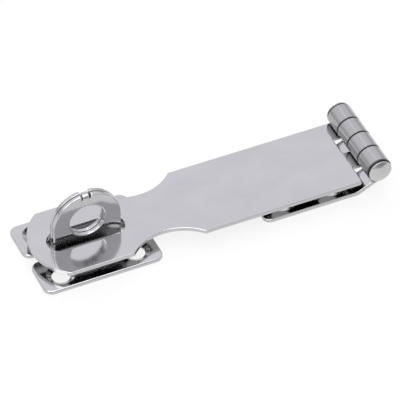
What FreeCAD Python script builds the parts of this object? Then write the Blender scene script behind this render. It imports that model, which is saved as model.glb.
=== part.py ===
"""Hasp and staple in pressed stainless sheet: hinge leaf, hasp strap, hinge pin and folded staple.

Frame: +X towards the hinge pin, +Z away from the door, origin on the mounting plane at the
centre of the leaf's four screw holes.  The pin lies along Y.  All sizes are in millimetres.
"""
import FreeCAD
import Part
import Sketcher
import math
import os
from FreeCAD import Vector

doc = FreeCAD.newDocument("hasp_and_staple")

# ---------------------------------------------------------------- driving dimensions

DIMENSIONS = {
    # sheet and hinge
    "gauge": 1.5,
    "plate_width": 30.0,
    "pin_reach": 23.5,
    "pin_height": 8.5,
    "bore_radius": 2.8,
    "pin_radius": 2.75,
    "knuckle_length": 7.5,
    "knuckle_gap": 0.3,
    "roll_angle": 300.0,
    "notch_reach": 5.9,
    # pin heads
    "head_clearance": 0.1,
    "neck_radius": 3.5,
    "neck_length": 0.45,
    "head_radius": 4.0,
    "head_rim": 0.35,
    "head_crown": 1.3,
    # hinge leaf
    "leaf_reach": 40.5,
    "web_angle": 27.0,
    "leaf_bend": 2.0,
    "leaf_corner": 2.5,
    "leaf_screw_pitch": 17.0,
    # screw holes, the same in the leaf and in the staple
    "screw_diameter": 6.0,
    "countersink_diameter": 9.4,
    "countersink_angle": 120.0,
    # hasp strap
    "strap_reach": 116.0,
    "waist_reach": 74.1,
    "waist_radius": 16.7,
    "waist_depth": 5.5,
    "end_radius": 18.6,
    "slot_reach": 97.0,
    "slot_length": 26.5,
    "slot_width": 9.5,
    "strap_corner": 1.0,
    # staple
    "staple_reach": 97.0,
    "staple_length": 41.0,
    "staple_width": 33.0,
    "lobe_gap": 0.3,
    "base_bend": 2.0,
    "eye_radius": 11.7,
    "eye_height": 11.7,
    "shackle_height": 12.6,
    "shackle_radius": 6.0,
    "neck_width": 2.2,
    "neck_relief": 0.5,
    "neck_drop": 0.4,
    "flange_corner": 3.0,
    "flange_split": 3.2,
    "staple_screw_pitch_x": 26.0,
    "staple_screw_pitch_y": 20.0,
    # how far cuts reach through and past the sheet
    "cut_depth": 60.0,
    "cut_margin": 2.0,
}

sheet = doc.addObject("Spreadsheet::Sheet", "dims")
for row, (alias, number) in enumerate(DIMENSIONS.items(), start=1):
    sheet.set(f"A{row}", alias)
    sheet.set(f"B{row}", str(number))
    sheet.setAlias(f"B{row}", alias)
doc.recompute()


def bound(formula):
    """Turn a formula in plain alias names into one that names the spreadsheet."""
    words = []
    for word in formula.split():
        words.append(f"dims.{word}" if word in DIMENSIONS else word)
    return " ".join(words)


def value(formula):
    """The number that a formula in alias names has now."""
    return float(sheet.evalExpression(bound(formula)))


# ---------------------------------------------------------------- sketch and feature helpers

def new_body(name):
    body = doc.addObject("PartDesign::Body", name)
    body.Label = name
    return body


def new_sketch(body, name, plane, offset=None):
    """A sketch on one of the body's own origin planes, lifted by a formula if one is given."""
    sketch = body.newObject("Sketcher::SketchObject", name)
    support = [item for item in body.Origin.OriginFeatures if item.Role == plane][0]
    sketch.AttachmentSupport = (support, [""])
    sketch.MapMode = "FlatFace"
    if offset:
        sketch.setExpression("AttachmentOffset.Base.z", bound(offset))
    return sketch


def dimension(sketch, constraint, formula):
    index = sketch.addConstraint(constraint)
    sketch.setExpression(f"Constraints[{index}]", bound(formula))


def pin_point(sketch, edge, end, corner, kinds=("DistanceX", "DistanceY")):
    """Tie an edge's end (1 start, 2 end, 3 centre) to a place given as two formulas."""
    for kind, formula in zip(("DistanceX", "DistanceY"), corner):
        if kind not in kinds:
            continue
        number = value(formula)
        if abs(number) < 1e-9:
            axis = -2 if kind == "DistanceX" else -1
            sketch.addConstraint(Sketcher.Constraint("PointOnObject", edge, end, axis))
        else:
            dimension(sketch, Sketcher.Constraint(kind, -1, 1, edge, end, number), formula)


def add_outline(sketch, corners, arcs=None):
    """A closed outline through corners given as formulas.

    arcs maps the number of an edge to (centre, radius, counter-clockwise); other edges are straight.
    The corners and one coordinate of each arc's centre fix the outline.
    """
    arcs = arcs or {}
    places = [Vector(value(c[0]), value(c[1]), 0) for c in corners]
    first = sketch.GeometryCount
    ends = []
    for number, start in enumerate(places):
        stop = places[(number + 1) % len(places)]
        if number not in arcs:
            sketch.addGeometry(Part.LineSegment(start, stop), False)
            ends.append((1, 2))
            continue
        centre, radius, ccw = arcs[number]
        middle = Vector(value(centre[0]), value(centre[1]), 0)
        circle = Part.Circle(middle, Vector(0, 0, 1), value(radius))
        low, high = (start, stop) if ccw else (stop, start)
        low_turn, high_turn = circle.parameter(low), circle.parameter(high)
        if high_turn <= low_turn:
            high_turn += 2 * math.pi
        sketch.addGeometry(Part.ArcOfCircle(circle, low_turn, high_turn), False)
        ends.append((1, 2) if ccw else (2, 1))
    for number, corner in enumerate(corners):
        edge = first + number
        following = first + (number + 1) % len(corners)
        following_end = ends[(number + 1) % len(corners)][0]
        sketch.addConstraint(Sketcher.Constraint("Coincident", edge, ends[number][1], following, following_end))
        pin_point(sketch, edge, ends[number][0], corner)
    for number, (centre, *_) in arcs.items():
        chord = places[(number + 1) % len(places)] - places[number]
        across = "DistanceY" if abs(chord.x) > abs(chord.y) else "DistanceX"
        pin_point(sketch, first + number, 3, centre, kinds=(across,))


def add_circle(sketch, centre, radius):
    middle = Vector(value(centre[0]), value(centre[1]), 0)
    edge = sketch.addGeometry(Part.Circle(middle, Vector(0, 0, 1), value(radius)), False)
    pin_point(sketch, edge, 3, centre)
    dimension(sketch, Sketcher.Constraint("Radius", edge, value(radius)), radius)


def add_rectangle(sketch, x_low, x_high, y_low, y_high):
    add_outline(sketch, [(x_low, y_low), (x_high, y_low), (x_high, y_high), (x_low, y_high)])


def extrude(body, kind, name, sketch, length, both_ways=True, reverse=False):
    """Pad or pocket a sketch by a formula's length, to both sides of its plane or to one."""
    base = body.Tip
    before = 0.0 if base is None or base.Shape.isNull() else base.Shape.Volume
    feature = body.newObject(f"PartDesign::{kind}", name)
    feature.Profile = sketch
    feature.setExpression("Length", bound(length))
    feature.Midplane = both_ways
    feature.Reversed = reverse
    body.Tip = feature
    doc.recompute()
    after = feature.Shape.Volume
    grows = kind == "Pad"
    if (after > before) != grows or abs(after - before) < 1e-6:
        raise RuntimeError(f"{name} changed nothing: {before:.3f} to {after:.3f}")
    return feature


def round_upright_edges(body, name, radius, chosen):
    """Fillet the straight edges along Z whose middle point passes the test."""
    base = body.Tip
    names = []
    for number, edge in enumerate(base.Shape.Edges, start=1):
        box = edge.BoundBox
        upright = box.XLength < 1e-6 and box.YLength < 1e-6
        if upright and chosen(Vector(box.XMin, box.YMin, 0.5 * (box.ZMin + box.ZMax))):
            names.append(f"Edge{number}")
    fillet = body.newObject("PartDesign::Fillet", name)
    fillet.Base = (base, names)
    fillet.setExpression("Radius", bound(radius))
    body.Tip = fillet
    doc.recompute()


def drill_screw_holes(body, name, centres):
    """Countersunk holes from the top of the sheet down through it."""
    sketch = new_sketch(body, f"{name}_centres", "XY_Plane", offset="gauge")
    for centre in centres:
        add_circle(sketch, centre, "screw_diameter / 2")
    doc.recompute()
    hole = body.newObject("PartDesign::Hole", name)
    hole.Profile = sketch
    doc.recompute()
    hole.ThreadType = "None"
    hole.DepthType = "ThroughAll"
    hole.HoleCutType = "Countersink"
    hole.HoleCutCustomValues = True
    hole.setExpression("Diameter", bound("screw_diameter"))
    hole.setExpression("HoleCutDiameter", bound("countersink_diameter"))
    hole.setExpression("HoleCutCountersinkAngle", bound("countersink_angle"))
    body.Tip = hole
    doc.recompute()


def four_corners(pitch_x, pitch_y):
    """The corners of a screw rectangle centred on the origin."""
    signs = ((-1, -1), (1, -1), (1, 1), (-1, 1))
    return [(f"{sx} * {pitch_x} / 2", f"{sy} * {pitch_y} / 2") for sx, sy in signs]


# ---------------------------------------------------------------- hinge shared by leaf and strap

def polar(angle, radius):
    """A place at an angle and radius about the pin, in the XZ plane."""
    x = f"pin_reach + ( {radius} ) * cos( ( {angle} ) * 1deg )"
    z = f"pin_height + ( {radius} ) * sin( ( {angle} ) * 1deg )"
    return x, z


PIN_AXIS = ("pin_reach", "pin_height")
BARREL_RADIUS = "( bore_radius + gauge )"
LAST_KNUCKLE = 3


def cut_knuckle_gaps(body, name, first_knuckles):
    """Open the barrel where the other plate's knuckles sit, back to the notch line."""
    sketch = new_sketch(body, f"{name}_outline", "XY_Plane")
    half = "plate_width / 2"
    for number in first_knuckles:
        low = f"{number} * knuckle_length - {half}"
        high = f"{number + 1} * knuckle_length - {half}"
        low = f"{low} - cut_margin" if number == 0 else f"{low} - knuckle_gap / 2"
        high = f"{high} + cut_margin" if number == LAST_KNUCKLE else f"{high} + knuckle_gap / 2"
        far_x = f"pin_reach + {BARREL_RADIUS} + cut_margin"
        add_rectangle(sketch, "pin_reach - notch_reach", far_x, low, high)
    extrude(body, "Pocket", name, sketch, "cut_depth")


# ---------------------------------------------------------------- hinge leaf

def make_hinge_leaf():
    body = new_body("hinge_leaf")
    bend_outer = "( leaf_bend + gauge )"
    sine = "sin( web_angle * 1deg )"
    cosine = "cos( web_angle * 1deg )"
    run = f"( {bend_outer} + ( pin_height - {bend_outer} ) * {cosine} - {BARREL_RADIUS} ) / {sine}"
    bend_x = f"( pin_reach - {run} )"
    end_x = "pin_reach - leaf_reach"
    foot = "web_angle - 90"
    finish = "web_angle - 90 + roll_angle"
    corners = [
        (end_x, "0"),
        (bend_x, "0"),
        (f"{bend_x} + {bend_outer} * {sine}", f"{bend_outer} * ( 1 - {cosine} )"),
        polar(foot, BARREL_RADIUS),
        polar(finish, BARREL_RADIUS),
        polar(finish, "bore_radius"),
        polar(foot, "bore_radius"),
        (f"{bend_x} + leaf_bend * {sine}", f"{bend_outer} - leaf_bend * {cosine}"),
        (bend_x, "gauge"),
        (end_x, "gauge"),
    ]
    arcs = {
        1: ((bend_x, bend_outer), bend_outer, True),
        3: (PIN_AXIS, BARREL_RADIUS, True),
        5: (PIN_AXIS, "bore_radius", False),
        7: ((bend_x, bend_outer), "leaf_bend", False),
    }
    side = new_sketch(body, "leaf_side", "XZ_Plane")
    add_outline(side, corners, arcs)
    extrude(body, "Pad", "leaf_sheet", side, "plate_width")
    cut_knuckle_gaps(body, "leaf_notches", (1, 3))
    limit = value(end_x) + 0.01
    round_upright_edges(body, "leaf_corners", "leaf_corner", lambda middle: middle.x < limit)
    drill_screw_holes(body, "leaf_screw_holes", four_corners("leaf_screw_pitch", "leaf_screw_pitch"))
    return body


# ---------------------------------------------------------------- hasp strap

def make_hasp_strap():
    body = new_body("hasp_strap")
    under = f"pin_height - {BARREL_RADIUS}"
    tip_x = "pin_reach - strap_reach"
    finish = "roll_angle - 90"
    corners = [
        (tip_x, under),
        ("pin_reach", under),
        polar(finish, BARREL_RADIUS),
        polar(finish, "bore_radius"),
        ("pin_reach", f"{under} + gauge"),
        (tip_x, f"{under} + gauge"),
    ]
    arcs = {
        1: (PIN_AXIS, BARREL_RADIUS, True),
        3: (PIN_AXIS, "bore_radius", False),
    }
    side = new_sketch(body, "strap_side", "XZ_Plane")
    add_outline(side, corners, arcs)
    extrude(body, "Pad", "strap_sheet", side, "plate_width")
    cut_knuckle_gaps(body, "strap_notches", (0, 2))

    waist = new_sketch(body, "waist_outline", "XY_Plane")
    for sign in (-1, 1):
        centre_y = f"{sign} * ( plate_width / 2 - waist_depth + waist_radius )"
        add_circle(waist, ("pin_reach - waist_reach", centre_y), "waist_radius")
    extrude(body, "Pocket", "waist", waist, "cut_depth")

    end_x = "( pin_reach - strap_reach + end_radius )"
    half = "( plate_width / 2 + cut_margin )"
    reach = f"sqrt( end_radius * end_radius - {half} * {half} )"
    rounded = new_sketch(body, "strap_end_outline", "XY_Plane")
    add_outline(rounded, [
        (f"{end_x} - {reach}", half),
        (f"{tip_x} - cut_margin", half),
        (f"{tip_x} - cut_margin", f"0 - {half}"),
        (f"{end_x} - {reach}", f"0 - {half}"),
    ], {3: ((end_x, "0"), "end_radius", False)})
    extrude(body, "Pocket", "strap_end", rounded, "cut_depth")

    slot = new_sketch(body, "slot_outline", "XY_Plane")
    middle = "pin_reach - slot_reach"
    straight = "( slot_length - slot_width ) / 2"
    radius = "slot_width / 2"
    add_outline(slot, [
        (f"{middle} - {straight}", f"0 - {radius}"),
        (f"{middle} + {straight}", f"0 - {radius}"),
        (f"{middle} + {straight}", radius),
        (f"{middle} - {straight}", radius),
    ], {
        1: ((f"{middle} + {straight}", "0"), radius, True),
        3: ((f"{middle} - {straight}", "0"), radius, True),
    })
    extrude(body, "Pocket", "slot", slot, "cut_depth")

    edge_y = 0.5 * value("plate_width") - 0.01
    limit = value("pin_reach - notch_reach") + 0.01
    round_upright_edges(body, "strap_corners", "strap_corner",
                        lambda middle: abs(middle.y) > edge_y and middle.x < limit)
    return body


# ---------------------------------------------------------------- hinge pin

def make_hinge_pin():
    """A headed pin along its own Y axis, with a low crowned head at each end."""
    body = new_body("hinge_pin")
    shank = "( plate_width / 2 + head_clearance )"
    neck = f"( {shank} + neck_length )"
    rim = f"( {neck} + head_rim )"
    crown = "( ( head_radius * head_radius + head_crown * head_crown ) / ( 2 * head_crown ) )"
    corners = []
    for sign in (1, -1):
        end = [
            ("pin_radius", f"{sign} * {shank}"),
            ("neck_radius", f"{sign} * {shank}"),
            ("neck_radius", f"{sign} * {neck}"),
            ("head_radius", f"{sign} * {neck}"),
            ("head_radius", f"{sign} * {rim}"),
            ("0", f"{sign} * ( {rim} + head_crown )"),
        ]
        corners += end if sign > 0 else end[::-1]
    arcs = {
        4: (("0", f"{rim} + head_crown - {crown}"), crown, True),
        6: (("0", f"0 - ( {rim} + head_crown - {crown} )"), crown, True),
    }
    section = new_sketch(body, "pin_section", "XY_Plane")
    add_outline(section, corners, arcs)
    turned = body.newObject("PartDesign::Revolution", "turned_pin")
    turned.Profile = section
    turned.ReferenceAxis = (section, ["V_Axis"])
    turned.Angle = 360.0
    body.Tip = turned
    body.setExpression("Placement.Base.x", bound("pin_reach"))
    body.setExpression("Placement.Base.z", bound("pin_height"))
    doc.recompute()
    return body


# ---------------------------------------------------------------- folded staple

def make_staple():
    """One sheet folded over at its narrow neck: two round lobes back to back on two flanges.

    The neck folds a little below the lobes' own rims, between two relief cuts.
    """
    body = new_body("staple")
    outer_face = "( lobe_gap / 2 + gauge )"
    bend_y = f"( {outer_face} + base_bend )"
    bend_outer = "( base_bend + gauge )"
    top = "( eye_height + eye_radius )"
    half_length = "staple_length / 2"

    plan = new_sketch(body, "flange_outline", "XY_Plane")
    for low, high in (("0 - staple_width / 2", "0 - flange_split / 2"),
                      ("flange_split / 2", "staple_width / 2")):
        add_rectangle(plan, f"0 - {half_length}", half_length, low, high)
    extrude(body, "Pad", "flanges", plan, "gauge", both_ways=False)
    round_upright_edges(body, "flange_corners", "flange_corner", lambda middle: True)

    throat = new_sketch(body, "throat_outline", "XY_Plane")
    add_rectangle(throat, "0 - eye_radius", "eye_radius", f"0 - {bend_y}", bend_y)
    extrude(body, "Pocket", "throat", throat, "cut_depth")

    side = new_sketch(body, "lobe_side", "YZ_Plane")
    for sign in (-1, 1):
        corners = [
            (f"{sign} * {bend_y}", "0"),
            (f"{sign} * lobe_gap / 2", bend_outer),
            (f"{sign} * lobe_gap / 2", top),
            (f"{sign} * {outer_face}", top),
            (f"{sign} * {outer_face}", bend_outer),
            (f"{sign} * {bend_y}", "gauge"),
        ]
        centre = (f"{sign} * {bend_y}", bend_outer)
        clockwise_outside = sign > 0
        arcs = {
            0: (centre, bend_outer, not clockwise_outside),
            4: (centre, "base_bend", clockwise_outside),
        }
        add_outline(side, corners, arcs)
    extrude(body, "Pad", "lobes", side, "2 * eye_radius")

    trim = new_sketch(body, "eye_outline", "XZ_Plane")
    add_outline(trim, [
        ("0 - eye_radius", "eye_height"),
        ("eye_radius", "eye_height"),
        ("eye_radius + cut_margin", "eye_height"),
        ("eye_radius + cut_margin", f"{top} + cut_margin"),
        ("0 - ( eye_radius + cut_margin )", f"{top} + cut_margin"),
        ("0 - ( eye_radius + cut_margin )", "eye_height"),
    ], {0: (("0", "eye_height"), "eye_radius", False)})
    extrude(body, "Pocket", "eye_rounding", trim, "cut_depth")

    seat = new_sketch(body, "neck_seat_outline", "XZ_Plane")
    fold_z = f"( {top} - neck_drop - {outer_face} )"
    seat_half = "( neck_width / 2 + neck_relief )"
    add_rectangle(seat, f"0 - {seat_half}", seat_half, fold_z, f"{top} + cut_margin")
    extrude(body, "Pocket", "neck_seat", seat, "cut_depth")

    fold = new_sketch(body, "fold_section", "YZ_Plane")
    add_outline(fold, [
        (outer_face, fold_z),
        (f"0 - {outer_face}", fold_z),
        ("0 - lobe_gap / 2", fold_z),
        ("lobe_gap / 2", fold_z),
    ], {
        0: (("0", fold_z), outer_face, True),
        2: (("0", fold_z), "lobe_gap / 2", False),
    })
    extrude(body, "Pad", "neck_fold", fold, "neck_width")

    hole = new_sketch(body, "shackle_hole_outline", "XZ_Plane")
    add_circle(hole, ("0", "shackle_height"), "shackle_radius")
    extrude(body, "Pocket", "shackle_hole", hole, "cut_depth")

    drill_screw_holes(body, "staple_screw_holes",
                      four_corners("staple_screw_pitch_x", "staple_screw_pitch_y"))
    body.setExpression("Placement.Base.x", bound("pin_reach - staple_reach"))
    doc.recompute()
    return body


# ---------------------------------------------------------------- build, check and write

pieces = [make_hinge_leaf(), make_hasp_strap(), make_hinge_pin(), make_staple()]
doc.recompute()

for item in doc.Objects:
    if "Invalid" in item.State or "Error" in item.State:
        raise RuntimeError(f"{item.Name} did not compute: {item.State}")

os.makedirs("parts", exist_ok=True)
for piece in pieces:
    shape = piece.Shape
    if shape.isNull() or not shape.isValid() or len(shape.Solids) != 1:
        raise RuntimeError(f"{piece.Label} is not one valid solid")
    shape.exportStep(f"parts/{piece.Label}.step")
    box = shape.BoundBox
    print(f"{piece.Label}: volume {shape.Volume:.1f}, X {box.XMin:.2f} to {box.XMax:.2f}, "
          f"Y {box.YMin:.2f} to {box.YMax:.2f}, Z {box.ZMin:.2f} to {box.ZMax:.2f}")
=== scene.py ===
"""Looks of the hasp and staple: polished sheet steel, folded from flat blanks round the CAD frame.

Each sheet is drawn as a flat outline in (u, v), where u runs across the bends and v along them.
It is given its rounded rims and then moved onto a bending line. Outlines keep the material on
their left, so holes run clockwise.
"""

import math
from collections import namedtuple

import bmesh
import bpy
from mathutils import Matrix, Vector
from mathutils.geometry import tessellate_polygon


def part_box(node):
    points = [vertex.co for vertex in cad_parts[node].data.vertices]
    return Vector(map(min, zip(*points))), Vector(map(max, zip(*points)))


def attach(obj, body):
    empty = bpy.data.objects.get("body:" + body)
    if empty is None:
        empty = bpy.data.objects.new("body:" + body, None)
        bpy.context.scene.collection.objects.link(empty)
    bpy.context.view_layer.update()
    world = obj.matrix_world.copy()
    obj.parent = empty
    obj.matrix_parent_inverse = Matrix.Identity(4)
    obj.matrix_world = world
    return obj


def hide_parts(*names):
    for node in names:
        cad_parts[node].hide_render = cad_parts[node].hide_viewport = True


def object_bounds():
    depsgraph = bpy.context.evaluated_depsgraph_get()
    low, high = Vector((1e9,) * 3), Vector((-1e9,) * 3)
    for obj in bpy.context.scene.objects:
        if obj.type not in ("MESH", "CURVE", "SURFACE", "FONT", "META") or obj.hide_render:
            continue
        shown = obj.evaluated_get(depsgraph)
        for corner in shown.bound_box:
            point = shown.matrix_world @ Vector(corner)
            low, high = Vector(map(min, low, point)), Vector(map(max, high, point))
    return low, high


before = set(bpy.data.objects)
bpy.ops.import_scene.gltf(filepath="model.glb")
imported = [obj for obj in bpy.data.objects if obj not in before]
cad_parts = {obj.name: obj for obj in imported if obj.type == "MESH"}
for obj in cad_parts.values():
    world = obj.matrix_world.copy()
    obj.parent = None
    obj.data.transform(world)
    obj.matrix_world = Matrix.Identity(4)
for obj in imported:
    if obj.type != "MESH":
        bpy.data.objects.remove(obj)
cad_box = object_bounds()

# ---------------------------------------------------------------- sizes, in millimetres
MM = 0.001

GAUGE = 1.5
SHEET_EDGE = 0.28          # how far the cut rims of the sheets are rounded over
STAPLE_EDGE = 0.5          # the staple's outer side is ground much rounder
STAPLE_CORNER = 0.6        # corners have to be rounder than the rims
SMALL_CORNER = 0.65

BORE_RADIUS = 2.8
BARREL_RADIUS = BORE_RADIUS + GAUGE
ROLL_TURN = 300.0          # degrees from the foot of the roll to the sheet's end
KNUCKLES = 4
KNUCKLE_GAP = 0.3
NOTCH_REACH = 5.9          # from the pin's axis back to the floor of the notches

SCREW_RADIUS = 3.0
COUNTERSINK_RADIUS = 4.7
COUNTERSINK_SLOPE = 60.0   # from the hole's axis
COUNTERSINK_EDGE = 0.12

LEAF_WEB_ANGLE = 27.0      # slope of the web that climbs to the barrel
LEAF_BEND = 2.0
LEAF_CORNER = 2.5
LEAF_SCREW_PITCH = 17.0

WAIST_FROM_PIN = 74.1      # centre of the arcs that narrow the strap
WAIST_RADIUS = 16.7
WAIST_DEPTH = 5.5
END_RADIUS = 18.6
SLOT_LENGTH = 26.5
SLOT_WIDTH = 9.5
STRAP_CORNER = 1.0

EYE_RADIUS = 11.7
EYE_HEIGHT = 11.7
SHACKLE_HEIGHT = 12.6      # middle of the hole for the padlock
SHACKLE_RADIUS = 6.0
LOBE_GAP = 0.3
BASE_BEND = 2.0
FLANGE_CORNER = 3.0
FLANGE_SPLIT = 3.2         # between the two flanges, beyond the eye
EAR_SLIT = 0.8             # cut that frees the eye from each flange
NECK_WIDTH = 2.4
NECK_RELIEF = 0.3
NECK_DROP = 0.3            # the fold at the neck lies this much below the lobes' tops
FOLD_RUN = 3               # which run of the staple's section is the fold at its neck
FOLD_STRETCH = 12.0        # drawn longer in the blank, so that the two lobes do not overlap there
STAPLE_SCREW_PITCH = (26.0, 20.0)   # along X, along Y

PIN_SHANK_RADIUS = 2.75
HEAD_CLEARANCE = 0.1
NECK_RADIUS = 3.5
NECK_LENGTH = 0.45
HEAD_RADIUS = 4.0
HEAD_RIM = 0.35
HEAD_EDGE = 0.12

# how finely curves are divided
CHORD_ERROR = 0.003
LARGEST_STEP = math.radians(10)
BEND_STEP = math.radians(3)
LATHE_STEPS = 96
SAME_POINT = 1e-5


# ---------------------------------------------------------------- places, from the CAD frame
def corners_of(node):
    """Lowest and highest corner of a CAD node, in millimetres."""
    low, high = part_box(node)
    return low / MM, high / MM


leaf_low, leaf_high = corners_of("hinge_leaf")
strap_low, strap_high = corners_of("hasp_strap")
pin_low, pin_high = corners_of("hinge_pin")
staple_low, staple_high = corners_of("staple")
pin_axis = (pin_low + pin_high) / 2
staple_middle = (staple_low + staple_high) / 2
plate_half = leaf_high.y
knuckle_length = 2 * plate_half / KNUCKLES


# ---------------------------------------------------------------- flat outlines and bending lines

# A corner of an outline or of a bending line. The run that leaves it is straight,
# or an arc about `centre` that turns +1 (to the left) or -1 (to the right).
Corner = namedtuple("Corner", "x y radius centre turn", defaults=(0.0, None, 0))
Run = namedtuple("Run", "at length radius")


def run_between(a, b):
    """The straight or curved run from corner a to corner b, as a function of the length along it."""
    start = Vector((a.x, a.y))
    if a.centre is None:
        span = Vector((b.x, b.y)) - start
        along = span.normalized()
        return Run(lambda s: (start + along * s, along), span.length, 0.0)
    centre = Vector(a.centre)
    arm = start - centre
    radius = arm.length
    first = math.atan2(arm.y, arm.x)
    last = math.atan2(b.y - centre.y, b.x - centre.x)
    sweep = (last - first) * a.turn % math.tau

    def at(s):
        angle = first + a.turn * s / radius
        outward = Vector((math.cos(angle), math.sin(angle)))
        return centre + outward * radius, Vector((-outward.y, outward.x)) * a.turn

    return Run(at, radius * sweep, radius)


def steps_for(radius, sweep):
    """How many straight pieces make this arc look round."""
    step = min(LARGEST_STEP, 2 * math.acos(max(0.0, 1 - CHORD_ERROR / radius)))
    return max(1, math.ceil(sweep / step))


def rounding(before, after, radius, sweep):
    """Points between the ends of two runs, on a smooth curve close to an arc of this radius."""
    (p0, d0), (p3, d3) = before, after
    handle = 4 / 3 * math.tan(sweep / 4) * radius
    p1, p2 = p0 + d0 * handle, p3 - d3 * handle
    count = max(3, steps_for(radius, sweep))
    points = []
    for number in range(1, count):
        t = number / count
        r = 1 - t
        place = p0 * r**3 + p1 * (3 * r * r * t) + p2 * (3 * r * t * t) + p3 * t**3
        heading = (p1 - p0) * (r * r) + (p2 - p1) * (2 * r * t) + (p3 - p2) * (t * t)
        points.append((place, heading.normalized()))
    return points


def trace(corners, closed=True):
    """An outline as (point, heading) pairs, with each corner rounded by its radius."""
    following = corners[1:] + (corners[:1] if closed else [])
    runs = [run_between(a, b) for a, b in zip(corners, following)]
    sweeps, trims = [0.0] * (len(runs) + 1), [0.0] * (len(runs) + 1)
    for index, corner in enumerate(corners[:len(runs) + 1]):
        if corner.radius and (closed or 0 < index < len(runs)):
            before, after = runs[index - 1], runs[index % len(runs)]
            sweeps[index] = before.at(before.length)[1].angle(after.at(0.0)[1])
            trims[index] = corner.radius * math.tan(sweeps[index] / 2)
    if closed:
        sweeps[-1], trims[-1] = sweeps[0], trims[0]
    points = []
    for index, run in enumerate(runs):
        start, end = trims[index], run.length - trims[index + 1]
        count = steps_for(run.radius, (end - start) / run.radius) if run.radius else 1
        points += [run.at(start + (end - start) * n / count) for n in range(count + 1)]
        if trims[index + 1]:
            following_run = runs[(index + 1) % len(runs)]
            radius = corners[(index + 1) % len(corners)].radius
            far_end = following_run.at(trims[index + 1])
            points += rounding(run.at(end), far_end, radius, sweeps[index + 1])
    kept = points[:1]
    for point in points[1:]:
        if (point[0] - kept[-1][0]).length > SAME_POINT:
            kept.append(point)
    if closed and (kept[0][0] - kept[-1][0]).length < SAME_POINT:
        kept.pop()
    return kept


def circle(x, y, radius):
    """A round hole. Material stays on the left of every outline, so holes run clockwise."""
    return trace([
        Corner(x - radius, y, 0, (x, y), -1),
        Corner(x + radius, y, 0, (x, y), -1),
    ])


class BendingLine:
    """The underside of a bent sheet, seen end on, as a function of the length u along the flat blank."""

    def __init__(self, corners, start, stretched=None, stretch=1.0):
        self.runs = [run_between(a, b) for a, b in zip(corners, corners[1:])]
        self.scales = [stretch if n == stretched else 1.0 for n in range(len(self.runs))]
        self.starts = [start]
        for run, scale in zip(self.runs, self.scales):
            self.starts.append(self.starts[-1] + run.length * scale)

    def at(self, u):
        """Point and heading at u. The first and last runs go on past their ends."""
        index = max([n for n in range(len(self.runs)) if self.starts[n] <= u], default=0)
        return self.runs[index].at((u - self.starts[index]) / self.scales[index])

    def stations(self):
        """Where the blank is divided so that it can bend: finely through the curved runs."""
        found = []
        for run, start, end in zip(self.runs, self.starts, self.starts[1:]):
            if run.radius:
                count = math.ceil(run.length / run.radius / BEND_STEP)
                found += [start + (end - start) * n / count for n in range(count + 1)]
        return found


# ---------------------------------------------------------------- sheets

def rim_section(upper=SHEET_EDGE):
    """Section of a sheet's cut rim as (inset, height): rounded over below and above."""
    return trace([
        Corner(SHEET_EDGE, 0.0),
        Corner(0.0, 0.0, SHEET_EDGE),
        Corner(0.0, GAUGE, upper),
        Corner(upper, GAUGE),
    ], closed=False)


def countersink_section():
    """Section of a screw hole's rim: a short land, then the cone that takes the screw's head."""
    flare = COUNTERSINK_RADIUS - SCREW_RADIUS
    land = GAUGE - flare / math.tan(math.radians(COUNTERSINK_SLOPE))
    return trace([
        Corner(COUNTERSINK_EDGE, 0.0),
        Corner(0.0, 0.0, COUNTERSINK_EDGE),
        Corner(0.0, land, COUNTERSINK_EDGE),
        Corner(flare, GAUGE, SHEET_EDGE),
        Corner(flare + SHEET_EDGE, GAUGE),
    ], closed=False)


def add_rim(bm, normals, outline, section):
    """The wall that follows an outline. Returns its lowest and highest ring of vertices."""
    rings = []
    for (inset, height), (section_in, section_up) in section:
        ring = []
        for place, heading in outline:
            out = Vector((heading.y, -heading.x))
            at = place - out * inset
            vertex = bm.verts.new((at.x, at.y, height))
            vertex[normals] = (out.x * section_up, out.y * section_up, section_in)
            ring.append(vertex)
        rings.append(ring)
    for low, high in zip(rings, rings[1:]):
        for n in range(len(outline)):
            m = (n + 1) % len(outline)
            bm.faces.new((low[n], low[m], high[m], high[n]))
    return rings[0], rings[-1]


def add_face(bm, rings, upward):
    """The flat face of a blank, bounded by the rim's ring and the holes' rings."""
    vertices = [vertex for ring in rings for vertex in ring]
    for triangle in tessellate_polygon([[vertex.co for vertex in ring] for ring in rings]):
        a, b, c = [vertices[n] for n in triangle]
        if ((b.co - a.co).cross(c.co - a.co).z > 0) == upward:
            bm.faces.new((a, b, c))
        else:
            bm.faces.new((c, b, a))


def flat_blank(outline, rim, holes):
    """A closed flat sheet with holes, in (u, v, thickness), and the layer of its true normals."""
    bm = bmesh.new()
    normals = bm.verts.layers.float_vector.new("true_normal")
    walls = [add_rim(bm, normals, outline, rim)]
    walls += [add_rim(bm, normals, hole, section) for hole, section in holes]
    add_face(bm, [low for low, _ in walls], upward=False)
    add_face(bm, [high for _, high in walls], upward=True)
    return bm, normals


def divide(bm, stations):
    """Cut across the blank at each station, so that it can bend there."""
    for u in stations:
        bmesh.ops.bisect_plane(
            bm,
            geom=bm.verts[:] + bm.edges[:] + bm.faces[:],
            dist=SAME_POINT,
            plane_co=(u, 0.0, 0.0),
            plane_no=(1.0, 0.0, 0.0),
        )


def bend(bm, normals, line_for, to_space):
    """Move the blank onto its bending lines. to_space turns (a, v, b) of the section into space."""
    for vertex in bm.verts:
        u, v, w = vertex.co
        n_u, n_v, n_w = vertex[normals]
        place, heading = line_for(u, v).at(u)
        left = Vector((-heading.y, heading.x))
        section = place + left * w
        facing = heading * n_u + left * n_w
        vertex[normals] = to_space(facing.x, n_v, facing.y).normalized()
        vertex.co = to_space(section.x, v, section.y)


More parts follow.
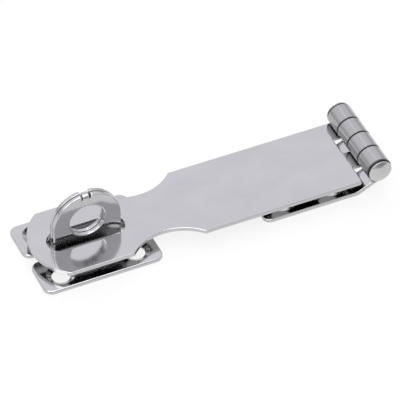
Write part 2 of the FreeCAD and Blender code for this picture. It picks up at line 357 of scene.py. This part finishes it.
def finish_piece(name, bm, normals, origin, body, node):
    """Turn a bmesh in millimetres into a smooth closed piece that rides its body."""
    loose = [edge for edge in bm.edges if not edge.is_manifold]
    if loose:
        raise RuntimeError(f"{name} is not closed: {len(loose)} open edges")
    facings = [Vector(vertex[normals]).normalized() for vertex in bm.verts]
    for face in bm.faces:
        face.smooth = True
    mesh = bpy.data.meshes.new(name)
    bmesh.ops.scale(bm, vec=(MM, MM, MM), verts=bm.verts)
    bm.to_mesh(mesh)
    bm.free()
    mesh.attributes.remove(mesh.attributes["true_normal"])
    mesh.normals_split_custom_set_from_vertices(facings)
    piece = bpy.data.objects.new(name, mesh)
    piece.location = origin * MM
    bpy.context.scene.collection.objects.link(piece)
    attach(piece, body)
    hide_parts(node)
    return piece


def mark_grain(bm):
    """Keep the flat blank's own coordinates, in metres, as the map that the grain follows."""
    grain = bm.loops.layers.uv.new("blank")
    for face in bm.faces:
        for loop in face.loops:
            u, v, w = loop.vert.co
            loop[grain].uv = (u * MM, (v + w) * MM)


def make_sheet(name, outline, rim, holes, lines, line_for, to_space):
    """Cut a blank, divide it and bend it."""
    bm, normals = flat_blank(outline, rim, holes)
    divide(bm, sorted({round(u, 6) for line in lines for u in line.stations()}))
    mark_grain(bm)
    bend(bm, normals, line_for, to_space)
    return bm, normals


def along_x(a, v, b):
    """A section drawn in the XZ plane: the blank's v runs along Y."""
    return Vector((a, v, b))


def along_y(a, v, b):
    """A section drawn in the YZ plane: the blank's v runs back along X."""
    return Vector((-v, a, b))


def on_barrel(angle, radius=BARREL_RADIUS):
    """The point of the barrel's section at this angle."""
    turn = math.radians(angle)
    return pin_axis.x + radius * math.cos(turn), pin_axis.z + radius * math.sin(turn)


def rolled_end(foot_angle, u_foot, u_notch, knuckles):
    """Outline corners of a plate's hinge end: tongues that roll up into knuckles, notches between."""
    u_end = u_foot + BARREL_RADIUS * math.radians(ROLL_TURN)
    corners = []
    for number in range(KNUCKLES):
        low = number * knuckle_length - plate_half
        high = low + knuckle_length
        low += KNUCKLE_GAP / 2 if number > 0 else 0.0
        high -= KNUCKLE_GAP / 2 if number < KNUCKLES - 1 else 0.0
        if number in knuckles:
            corners += [
                Corner(u_notch, low, SMALL_CORNER),
                Corner(u_end, low, SMALL_CORNER),
                Corner(u_end, high, SMALL_CORNER),
                Corner(u_notch, high, SMALL_CORNER),
            ]
    return corners


# ---------------------------------------------------------------- the pieces

def build_leaf():
    """The fixed leaf: a flat plate with four screw holes, a sloping web and two knuckles."""
    outer = LEAF_BEND + GAUGE
    slope = math.radians(LEAF_WEB_ANGLE)
    run = (outer + (pin_axis.z - outer) * math.cos(slope) - BARREL_RADIUS) / math.sin(slope)
    bend_x = pin_axis.x - run
    web_foot = (bend_x + outer * math.sin(slope), outer * (1 - math.cos(slope)))
    foot = LEAF_WEB_ANGLE - 90.0
    line = BendingLine([
        Corner(leaf_low.x, 0.0),
        Corner(bend_x, 0.0, 0.0, (bend_x, outer), 1),
        Corner(*web_foot),
        Corner(*on_barrel(foot), 0.0, (pin_axis.x, pin_axis.z), 1),
        Corner(*on_barrel(foot + ROLL_TURN)),
    ], leaf_low.x)
    notch_x = pin_axis.x - NOTCH_REACH
    u_notch = line.starts[2] + (notch_x - web_foot[0]) / math.cos(slope)
    hinge_end = rolled_end(foot, line.starts[3], u_notch, (0, 2))
    outline = trace(
        [Corner(leaf_low.x, -plate_half, LEAF_CORNER)]
        + hinge_end[1:]
        + [Corner(u_notch, plate_half, SMALL_CORNER)]
        + [Corner(leaf_low.x, plate_half, LEAF_CORNER)]
    )
    half = LEAF_SCREW_PITCH / 2
    holes = [(circle(x, y, SCREW_RADIUS), countersink_section())
             for x in (-half, half) for y in (-half, half)]
    bm, normals = make_sheet("leaf", outline, rim_section(), holes, [line],
                             lambda u, v: line, along_x)
    return finish_piece("leaf_plate", bm, normals, Vector(), "leaf", "hinge_leaf")


def build_strap():
    """The hasp strap: waisted, with a round end, a slot for the staple and two knuckles."""
    under = pin_axis.z - BARREL_RADIUS
    line = BendingLine([
        Corner(strap_low.x, under),
        Corner(pin_axis.x, under, 0.0, (pin_axis.x, pin_axis.z), 1),
        Corner(*on_barrel(ROLL_TURN - 90.0)),
    ], strap_low.x)
    u_notch = pin_axis.x - NOTCH_REACH
    hinge_end = rolled_end(-90.0, line.starts[1], u_notch, (1, 3))

    end_x = strap_low.x + END_RADIUS
    shoulder_x = end_x - math.sqrt(END_RADIUS**2 - plate_half**2)
    waist_x = pin_axis.x - WAIST_FROM_PIN
    waist_y = plate_half - WAIST_DEPTH + WAIST_RADIUS
    waist_half = math.sqrt(WAIST_RADIUS**2 - (waist_y - plate_half)**2)
    outline = trace(
        [
            Corner(shoulder_x, plate_half, STRAP_CORNER, (end_x, 0.0), 1),
            Corner(shoulder_x, -plate_half, STRAP_CORNER),
            Corner(waist_x - waist_half, -plate_half, STRAP_CORNER, (waist_x, -waist_y), -1),
            Corner(waist_x + waist_half, -plate_half, STRAP_CORNER),
            Corner(u_notch, -plate_half, STRAP_CORNER),
        ]
        + hinge_end[:-1]
        + [
            Corner(waist_x + waist_half, plate_half, STRAP_CORNER, (waist_x, waist_y), -1),
            Corner(waist_x - waist_half, plate_half, STRAP_CORNER),
        ]
    )
    slot_half, radius = (SLOT_LENGTH - SLOT_WIDTH) / 2, SLOT_WIDTH / 2
    left, right = staple_middle.x - slot_half, staple_middle.x + slot_half
    slot = trace([
        Corner(left, radius),
        Corner(right, radius, 0.0, (right, 0.0), -1),
        Corner(right, -radius),
        Corner(left, -radius, 0.0, (left, 0.0), -1),
    ])
    bm, normals = make_sheet("strap", outline, rim_section(), [(slot, rim_section())], [line],
                             lambda u, v: line, along_x)
    return finish_piece("strap_plate", bm, normals, Vector(), "strap", "hasp_strap")


def mirror_across_u(points, middle):
    """The same run of outline on the far side of u = middle, in walking order."""
    return [(Vector((2 * middle - p.x, p.y)), Vector((d.x, -d.y))) for p, d in reversed(points)]


def mirror_across_v(points):
    """The same run of outline on the other side of v = 0, in walking order."""
    return [(Vector((p.x, -p.y)), Vector((-d.x, d.y))) for p, d in reversed(points)]


def build_staple():
    """The staple: one sheet folded over at its narrow neck into two round lobes on two flanges."""
    outer = BASE_BEND + GAUGE
    inner_y = LOBE_GAP / 2
    fold_z = EYE_HEIGHT + EYE_RADIUS - NECK_DROP - inner_y - GAUGE
    bend_y = inner_y + outer
    far_y = staple_high.y
    half_length = staple_high.x - staple_middle.x

    flange = [Corner(-far_y, 0.0), Corner(-bend_y, 0.0, 0.0, (-bend_y, outer), 1)]
    rise = [Corner(-inner_y, outer), Corner(-inner_y, fold_z, 0.0, (0.0, fold_z), -1)]
    fall = [Corner(inner_y, fold_z), Corner(inner_y, outer, 0.0, (bend_y, outer), 1)]
    last = [Corner(bend_y, 0.0), Corner(far_y, 0.0)]
    whole = BendingLine(flange + rise + fall + last, 0.0, FOLD_RUN, FOLD_STRETCH)
    u_bend, u_rise, u_fold, u_fall, _, u_last, u_end = whole.starts[1:]
    front_flat = BendingLine(flange, 0.0)
    front_lobe = BendingLine(flange + rise, 0.0)
    back_lobe = BendingLine(fall + last, u_fall)
    back_flat = BendingLine(last, u_last)
    middle = u_end / 2

    ear_line = EYE_RADIUS + EAR_SLIT / 2
    slit_line = (NECK_WIDTH + NECK_RELIEF) / 2

    def line_for(u, v):
        front = u < middle
        if abs(v) > ear_line:
            return front_flat if front else back_flat
        if abs(v) > slit_line:
            return front_lobe if front else back_lobe
        return whole

    u_eye = u_rise + EYE_HEIGHT - outer
    u_ear = far_y - FLANGE_SPLIT / 2
    ear_side = EYE_RADIUS + EAR_SLIT
    slit_end = u_bend - EAR_SLIT / 2
    neck_half = NECK_WIDTH / 2
    relief_side = neck_half + NECK_RELIEF
    shoulder = u_eye + math.sqrt(EYE_RADIUS**2 - relief_side**2)
    relief_end = u_fold - NECK_RELIEF / 2
    quarter = trace([
        Corner(0.0, 0.0),
        Corner(0.0, -half_length, FLANGE_CORNER),
        Corner(u_ear, -half_length, FLANGE_CORNER),
        Corner(u_ear, -ear_side, STAPLE_CORNER),
        Corner(slit_end, -ear_side, 0.0, (slit_end, -ear_line), -1),
        Corner(slit_end, -EYE_RADIUS),
        Corner(u_eye, -EYE_RADIUS, 0.0, (u_eye, 0.0), 1),
        Corner(shoulder, -relief_side, STAPLE_CORNER),
        Corner(relief_end, -relief_side, 0.0, (relief_end, -slit_line), -1),
        Corner(relief_end, -neck_half),
        Corner(middle, -neck_half),
    ], closed=False)
    near_side = quarter + mirror_across_u(quarter, middle)[1:]
    outline = near_side[1:-1] + mirror_across_v(near_side)[1:-1]

    u_shackle = u_eye + SHACKLE_HEIGHT - EYE_HEIGHT
    rim = rim_section(STAPLE_EDGE)
    holes = [(circle(u, 0.0, SHACKLE_RADIUS), rim) for u in (u_shackle, u_end - u_shackle)]
    pitch_x, pitch_y = STAPLE_SCREW_PITCH
    u_screw = far_y - pitch_y / 2
    holes += [(circle(u, v, SCREW_RADIUS), countersink_section())
              for u in (u_screw, u_end - u_screw) for v in (-pitch_x / 2, pitch_x / 2)]
    bm, normals = make_sheet("staple", outline, rim, holes, [whole], line_for, along_y)
    origin = Vector((staple_middle.x, 0.0, 0.0))
    return finish_piece("staple_plate", bm, normals, origin, "staple_plate", "staple")


def build_pin():
    """The hinge pin: turned, with a low crowned head past each end of the barrel."""
    shank = plate_half + HEAD_CLEARANCE
    neck = shank + NECK_LENGTH
    rim = neck + HEAD_RIM
    tip = pin_high.y
    crown = tip - rim
    crown_radius = (HEAD_RADIUS**2 + crown**2) / (2 * crown)
    end = [
        Corner(PIN_SHANK_RADIUS, shank),
        Corner(NECK_RADIUS, shank, HEAD_EDGE),
        Corner(NECK_RADIUS, neck, HEAD_EDGE),
        Corner(HEAD_RADIUS, neck, HEAD_EDGE),
        Corner(HEAD_RADIUS, rim, HEAD_EDGE, (0.0, tip - crown_radius), 1),
        Corner(0.0, tip),
    ]
    half = trace([Corner(PIN_SHANK_RADIUS, 0.0)] + end, closed=False)[1:]
    # from the far tip down to the near tip, with the material on the right
    profile = [(p, -d) for p, d in reversed(half)]
    profile += [(Vector((p.x, -p.y)), Vector((d.x, -d.y))) for p, d in half]

    bm = bmesh.new()
    normals = bm.verts.layers.float_vector.new("true_normal")
    rings = []
    for (radius, y), heading in profile:
        side, along = -heading.y, heading.x
        ring = []
        for n in range(LATHE_STEPS if radius > SAME_POINT else 1):
            angle = math.tau * n / LATHE_STEPS
            spoke = Vector((math.cos(angle), 0.0, math.sin(angle)))
            vertex = bm.verts.new(spoke * radius + Vector((0.0, y, 0.0)))
            vertex[normals] = spoke * side + Vector((0.0, along, 0.0))
            if len(ring) == 0 and radius <= SAME_POINT:
                vertex[normals] = (0.0, math.copysign(1.0, y), 0.0)
            ring.append(vertex)
        rings.append(ring)
    for upper, lower in zip(rings, rings[1:]):
        for n in range(LATHE_STEPS):
            m = (n + 1) % LATHE_STEPS
            corners = [
                upper[n % len(upper)], upper[m % len(upper)],
                lower[m % len(lower)], lower[n % len(lower)],
            ]
            bm.faces.new(list(dict.fromkeys(corners)))   # at a tip, a triangle
    grain = bm.loops.layers.uv.new("blank")
    for face in bm.faces:
        for loop in face.loops:
            loop[grain].uv = (loop.vert.co.x * MM, loop.vert.co.z * MM)
    origin = Vector((pin_axis.x, 0.0, pin_axis.z))
    return finish_piece("pin_turned", bm, normals, origin, "leaf", "hinge_pin")


# ---------------------------------------------------------------- materials

STEEL_COLOUR = (0.505, 0.505, 0.511)
PIN_COLOUR = (0.52, 0.52, 0.52)
LEAF_ROUGHNESS = 0.10
SHEET_ROUGHNESS = 0.09
PIN_ROUGHNESS = 0.22

# noise over the flat blank: cells per metre along it and across it, and its detail
GRAIN = (60.0, 9000.0, 4.0)
SMUDGE_AND_REFLECTION = (70.0, 110.0, 3.0)
SCRATCH = (40.0, 5200.0, 2.0)
SCRATCH_TURN = 0.12        # radians off the grain
SCRATCH_EDGE = (0.66, 0.70)   # only the peaks of that noise are scratches
SCRATCH_DEPTH = -0.35      # against the grain's height of 1
BUMP_HEIGHT = 0.00001

GRAIN_TINT = (0.975, 1.015)        # colour between the grain's valleys and ridges
GRAIN_ROUGHNESS = (0.8, 1.25)      # and roughness, against the sheet's own
SMUDGE_ROUGHNESS = (-0.25, 0.45)   # what smudges add, in parts of the sheet's roughness
CLOUD_REFLECTION_TINT = 0.93          # how far the faint clouds darken the polish, a painted reflection
BARREL_SHADE_TINT = 0.80         # painted shade darkening the rolled knuckles' colour; they are also brushed, not polished, by the roughness below
BARREL_ROUGHER = 0.11
BARREL_FADE = (1.2, 0.2)   # millimetres outside the barrel where its brushing and painted shade begin and are full
SEAM_SHADE_TINT = 0.25           # painted shade where two knuckles meet, darkening the seam's colour
SEAM_SHADE_FADE = (0.50, 0.30)   # millimetres from the seam's middle

CARD_COLOURS = ((0.14, 0.14, 0.14, 1.0), (0.17, 0.17, 0.17, 1.0))
CARD_GRAIN = 350.0
CARD_ROUGHNESS = 0.6
CARD_GLOW = 0.84


def add_node(tree, kind, **settings):
    """A shader node. Settings that name an input set its value, and a socket is linked to it."""
    node = tree.nodes.new(kind)
    for name, setting in settings.items():
        if name in node.inputs:
            if isinstance(setting, bpy.types.NodeSocket):
                tree.links.new(setting, node.inputs[name])
            else:
                node.inputs[name].default_value = setting
        else:
            setattr(node, name, setting)
    return node


def new_material(name):
    """An empty node material and its Principled shader."""
    material = bpy.data.materials.new(name)
    material.use_nodes = True
    return material, material.node_tree, material.node_tree.nodes["Principled BSDF"]


def tint(tree, colour, share, factor):
    """The colour multiplied by the factor where the share is 1."""
    darker = add_node(tree, "ShaderNodeMapRange")
    tree.links.new(share, darker.inputs["Value"])
    darker.inputs["To Min"].default_value = 1.0
    darker.inputs["To Max"].default_value = factor
    scaled = add_node(tree, "ShaderNodeVectorMath", operation="SCALE")
    tree.links.new(colour, scaled.inputs[0])
    tree.links.new(darker.outputs["Result"], scaled.inputs["Scale"])
    return scaled.outputs["Vector"]


def barrel_masks(tree):
    """Two masks: 1 on the barrel round the pin's axis, and 1 where two of its knuckles meet, which
    carries painted shade in the seam.

    They are only for the leaf and the strap, whose origins are the frame's own.
    """
    place = add_node(tree, "ShaderNodeTexCoord").outputs["Object"]
    parts = add_node(tree, "ShaderNodeSeparateXYZ", Vector=place)
    from_axis = add_node(tree, "ShaderNodeVectorMath", operation="SUBTRACT")
    tree.links.new(place, from_axis.inputs[0])
    from_axis.inputs[1].default_value = Vector((pin_axis.x, 0.0, pin_axis.z)) * MM
    across = add_node(tree, "ShaderNodeVectorMath", operation="MULTIPLY")
    tree.links.new(from_axis.outputs["Vector"], across.inputs[0])
    across.inputs[1].default_value = (1.0, 0.0, 1.0)
    distance = add_node(tree, "ShaderNodeVectorMath", operation="LENGTH")
    tree.links.new(across.outputs["Vector"], distance.inputs[0])
    rolled = add_node(tree, "ShaderNodeMapRange", Value=distance.outputs["Value"])
    rolled.inputs["From Min"].default_value = (BARREL_RADIUS + BARREL_FADE[0]) * MM
    rolled.inputs["From Max"].default_value = (BARREL_RADIUS + BARREL_FADE[1]) * MM
    off_seam = add_node(tree, "ShaderNodeMath", operation="PINGPONG")
    tree.links.new(parts.outputs["Y"], off_seam.inputs[0])
    off_seam.inputs[1].default_value = knuckle_length / 2 * MM
    near = add_node(tree, "ShaderNodeMapRange", Value=off_seam.outputs[0])
    near.inputs["From Min"].default_value = SEAM_SHADE_FADE[0] * MM
    near.inputs["From Max"].default_value = SEAM_SHADE_FADE[1] * MM
    seam_shade = add_node(tree, "ShaderNodeMath", operation="MULTIPLY")
    tree.links.new(near.outputs["Result"], seam_shade.inputs[0])
    tree.links.new(rolled.outputs["Result"], seam_shade.inputs[1])
    return rolled.outputs["Result"], seam_shade.outputs[0]


def steel(name, colour, roughness, grain_strength, has_barrel=False):
    """Polished stainless: fine grain along the blank, soft smudges that also darken it in clouds as
    painted reflection, and a few hair scratches; on the barrel, painted shade.
    """
    material, tree, shader = new_material(name)
    blank = add_node(tree, "ShaderNodeUVMap", uv_map="blank").outputs["UV"]

    def stretched_noise(along, across, detail, turn=0.0):
        mapping = add_node(tree, "ShaderNodeMapping", Vector=blank)
        mapping.inputs["Scale"].default_value = (along, across, 1.0)
        mapping.inputs["Rotation"].default_value = (0.0, 0.0, turn)
        noise = add_node(tree, "ShaderNodeTexNoise", Vector=mapping.outputs["Vector"])
        noise.inputs["Scale"].default_value = 1.0
        noise.inputs["Detail"].default_value = detail
        return noise.outputs["Fac"]

    grain = stretched_noise(*GRAIN)
    smudge_and_reflection = stretched_noise(*SMUDGE_AND_REFLECTION)
    scratch = stretched_noise(*SCRATCH, SCRATCH_TURN)

    def remap(value, low, high, from_low=0.3, from_high=0.7):
        node = add_node(tree, "ShaderNodeMapRange", Value=value)
        node.inputs["From Min"].default_value = from_low
        node.inputs["From Max"].default_value = from_high
        node.inputs["To Min"].default_value = low
        node.inputs["To Max"].default_value = high
        return node.outputs["Result"]

    rough_grain = remap(grain, *[roughness * part for part in GRAIN_ROUGHNESS])
    rough_smudge = remap(smudge_and_reflection, *[roughness * part for part in SMUDGE_ROUGHNESS])
    total = add_node(tree, "ShaderNodeMath", operation="ADD")
    tree.links.new(rough_grain, total.inputs[0])
    tree.links.new(rough_smudge, total.inputs[1])
    rough = total.outputs[0]

    mix = add_node(tree, "ShaderNodeMix", data_type="RGBA")
    tree.links.new(remap(grain, 0.0, 1.0), mix.inputs["Factor"])
    valley, ridge = [[c * part for c in colour] for part in GRAIN_TINT]
    mix.inputs["A"].default_value = (*valley, 1.0)
    mix.inputs["B"].default_value = (*ridge, 1.0)
    # the smudge noise also darkens the colour in faint clouds, a painted reflection; its roughness part
    # is real smudging
    tinted = tint(tree, mix.outputs["Result"], remap(smudge_and_reflection, 1.0, 0.0), CLOUD_REFLECTION_TINT)

    if has_barrel:
        # the barrel mask adds roughness for the real brushing and darkens the colour as painted shade
        rolled, seam_shade = barrel_masks(tree)
        duller = add_node(tree, "ShaderNodeMath", operation="MULTIPLY_ADD")
        tree.links.new(rolled, duller.inputs[0])
        duller.inputs[1].default_value = BARREL_ROUGHER
        tree.links.new(rough, duller.inputs[2])
        rough = duller.outputs[0]
        # the seam mask darkens the lines where knuckles meet, as painted shade
        tinted = tint(tree, tint(tree, tinted, rolled, BARREL_SHADE_TINT), seam_shade, SEAM_SHADE_TINT)
    tree.links.new(rough, shader.inputs["Roughness"])
    tree.links.new(tinted, shader.inputs["Base Color"])

    line = remap(scratch, 0.0, 1.0, *SCRATCH_EDGE)
    height = add_node(tree, "ShaderNodeMath", operation="MULTIPLY_ADD")
    tree.links.new(line, height.inputs[0])
    height.inputs[1].default_value = SCRATCH_DEPTH
    tree.links.new(grain, height.inputs[2])
    bump = add_node(tree, "ShaderNodeBump", Strength=grain_strength, Distance=BUMP_HEIGHT)
    tree.links.new(height.outputs[0], bump.inputs["Height"])
    tree.links.new(bump.outputs["Normal"], shader.inputs["Normal"])
    shader.inputs["Metallic"].default_value = 1.0
    return material


def floor_material():
    """Pale satin card, lit a little from beneath like a light table."""
    material, tree, shader = new_material("pale_card")
    place = add_node(tree, "ShaderNodeTexCoord").outputs["Object"]
    noise = add_node(tree, "ShaderNodeTexNoise", Vector=place, Scale=CARD_GRAIN, Detail=3.0)
    mix = add_node(tree, "ShaderNodeMix", data_type="RGBA")
    tree.links.new(noise.outputs["Fac"], mix.inputs["Factor"])
    mix.inputs["A"].default_value, mix.inputs["B"].default_value = CARD_COLOURS
    tree.links.new(mix.outputs["Result"], shader.inputs["Base Color"])
    shader.inputs["Metallic"].default_value = 1.0
    shader.inputs["Roughness"].default_value = CARD_ROUGHNESS
    shader.inputs["Emission Color"].default_value = (1.0, 1.0, 1.0, 1.0)
    shader.inputs["Emission Strength"].default_value = CARD_GLOW
    return material


# ---------------------------------------------------------------- floor, light and camera

FLOOR_SIZE = 4.0
SKY_COLOUR = (1.15, 1.15, 1.215)
SKY_PATCHES = [            # direction of the middle, cosines where it begins and is full, colour
    ((0.0, 0.0, -1.0), (-0.60, -0.05), (0.66, 0.66, 0.68)),       # dimmer down to the horizon
    ((0.35, -0.93, 0.0), (0.73, 0.985), (0.34, 0.34, 0.35)),       # the dark side, behind the camera
    ((-0.70, -0.28, 0.66), (0.955, 0.985), (4.0, 4.0, 4.0)),      # a bright window on the left
    ((0.046, 0.665, 0.744), (0.9972, 0.9992), (1.9, 1.9, 1.9)),    # a small one at the back
]
TOP_LIGHT_SIZE = 0.9
TOP_LIGHT_PLACE = (-0.15, -0.35, 1.1)   # from the middle of the object
TOP_LIGHT_POWER = 7.0

VIEW_AZIMUTH = 24.154      # degrees to the left of straight along +Y
VIEW_ELEVATION = 43.174
VIEW_ROLL = -0.242
VIEW_DISTANCE = 1.2742
VIEW_LENS = 354.7          # on a 36 mm frame
AIM_FROM_MIDDLE = Vector((0.29, 1.454, -8.645))   # millimetres


def make_floor():
    """A large pale floor under the object."""
    mesh = bpy.data.meshes.new("floor")
    half = FLOOR_SIZE / 2
    corners = [(-half, -half, 0), (half, -half, 0), (half, half, 0), (-half, half, 0)]
    mesh.from_pydata(corners, [], [(0, 1, 2, 3)])
    floor = bpy.data.objects.new("floor", mesh)
    floor.location.z = cad_box[0].z
    floor.data.materials.append(floor_material())
    bpy.context.scene.collection.objects.link(floor)


def make_sky():
    """A very pale surround with a few soft darker and brighter patches painted into it."""
    world = bpy.data.worlds.new("surround")
    world.use_nodes = True
    tree = world.node_tree
    direction = add_node(tree, "ShaderNodeTexCoord").outputs["Generated"]
    painted = add_node(tree, "ShaderNodeRGB").outputs["Color"]
    painted.default_value = (*SKY_COLOUR, 1.0)
    for centre, edge, colour in SKY_PATCHES:
        towards = add_node(tree, "ShaderNodeVectorMath", operation="DOT_PRODUCT")
        tree.links.new(direction, towards.inputs[0])
        towards.inputs[1].default_value = Vector(centre).normalized()
        share = add_node(tree, "ShaderNodeMapRange", interpolation_type="SMOOTHSTEP")
        tree.links.new(towards.outputs["Value"], share.inputs["Value"])
        share.inputs["From Min"].default_value, share.inputs["From Max"].default_value = edge
        mix = add_node(tree, "ShaderNodeMix", data_type="RGBA")
        tree.links.new(share.outputs["Result"], mix.inputs["Factor"])
        tree.links.new(painted, mix.inputs["A"])
        mix.inputs["B"].default_value = (*colour, 1.0)
        painted = mix.outputs["Result"]
    tree.links.new(painted, tree.nodes["Background"].inputs["Color"])
    bpy.context.scene.world = world


def make_top_light(middle):
    """One wide soft light above and a little in front."""
    light = bpy.data.lights.new("softbox", "AREA")
    light.shape = "SQUARE"
    light.size = TOP_LIGHT_SIZE
    light.energy = TOP_LIGHT_POWER
    lamp = bpy.data.objects.new("softbox", light)
    lamp.location = middle + Vector(TOP_LIGHT_PLACE)
    aim = middle - lamp.location
    lamp.rotation_mode = "QUATERNION"
    lamp.rotation_quaternion = aim.to_track_quat("-Z", "Y")
    bpy.context.scene.collection.objects.link(lamp)


def make_camera(middle):
    """A long lens that looks down from the front left."""
    azimuth, elevation, roll = (math.radians(x) for x in (VIEW_AZIMUTH, VIEW_ELEVATION, VIEW_ROLL))
    back = Vector((
        -math.sin(azimuth) * math.cos(elevation),
        -math.cos(azimuth) * math.cos(elevation),
        math.sin(elevation),
    ))
    data = bpy.data.cameras.new("camera")
    data.sensor_width = 36.0
    data.lens = VIEW_LENS
    data.clip_start = 0.1
    data.clip_end = 20.0
    camera = bpy.data.objects.new("camera", data)
    camera.rotation_mode = "QUATERNION"
    level = (-back).to_track_quat("-Z", "Y").to_matrix()
    camera.rotation_quaternion = (level @ Matrix.Rotation(roll, 3, "Z")).to_quaternion()
    camera.location = middle + AIM_FROM_MIDDLE * MM + back * VIEW_DISTANCE
    bpy.context.scene.collection.objects.link(camera)
    bpy.context.scene.camera = camera


# ---------------------------------------------------------------- put together

leaf = build_leaf()
strap = build_strap()
staple = build_staple()
pin = build_pin()
leaf.data.materials.append(steel("leaf_polish", STEEL_COLOUR, LEAF_ROUGHNESS, 0.25, has_barrel=True))
strap.data.materials.append(steel("strap_polish", STEEL_COLOUR, SHEET_ROUGHNESS, 0.2, has_barrel=True))
staple.data.materials.append(steel("staple_polish", STEEL_COLOUR, SHEET_ROUGHNESS, 0.2))
pin.data.materials.append(steel("pin_polish", PIN_COLOUR, PIN_ROUGHNESS, 0.3))

middle_of_all = (cad_box[0] + cad_box[1]) / 2
make_floor()
make_sky()
make_top_light(middle_of_all)
make_camera(middle_of_all)
bpy.context.scene.view_settings.view_transform = "Standard"
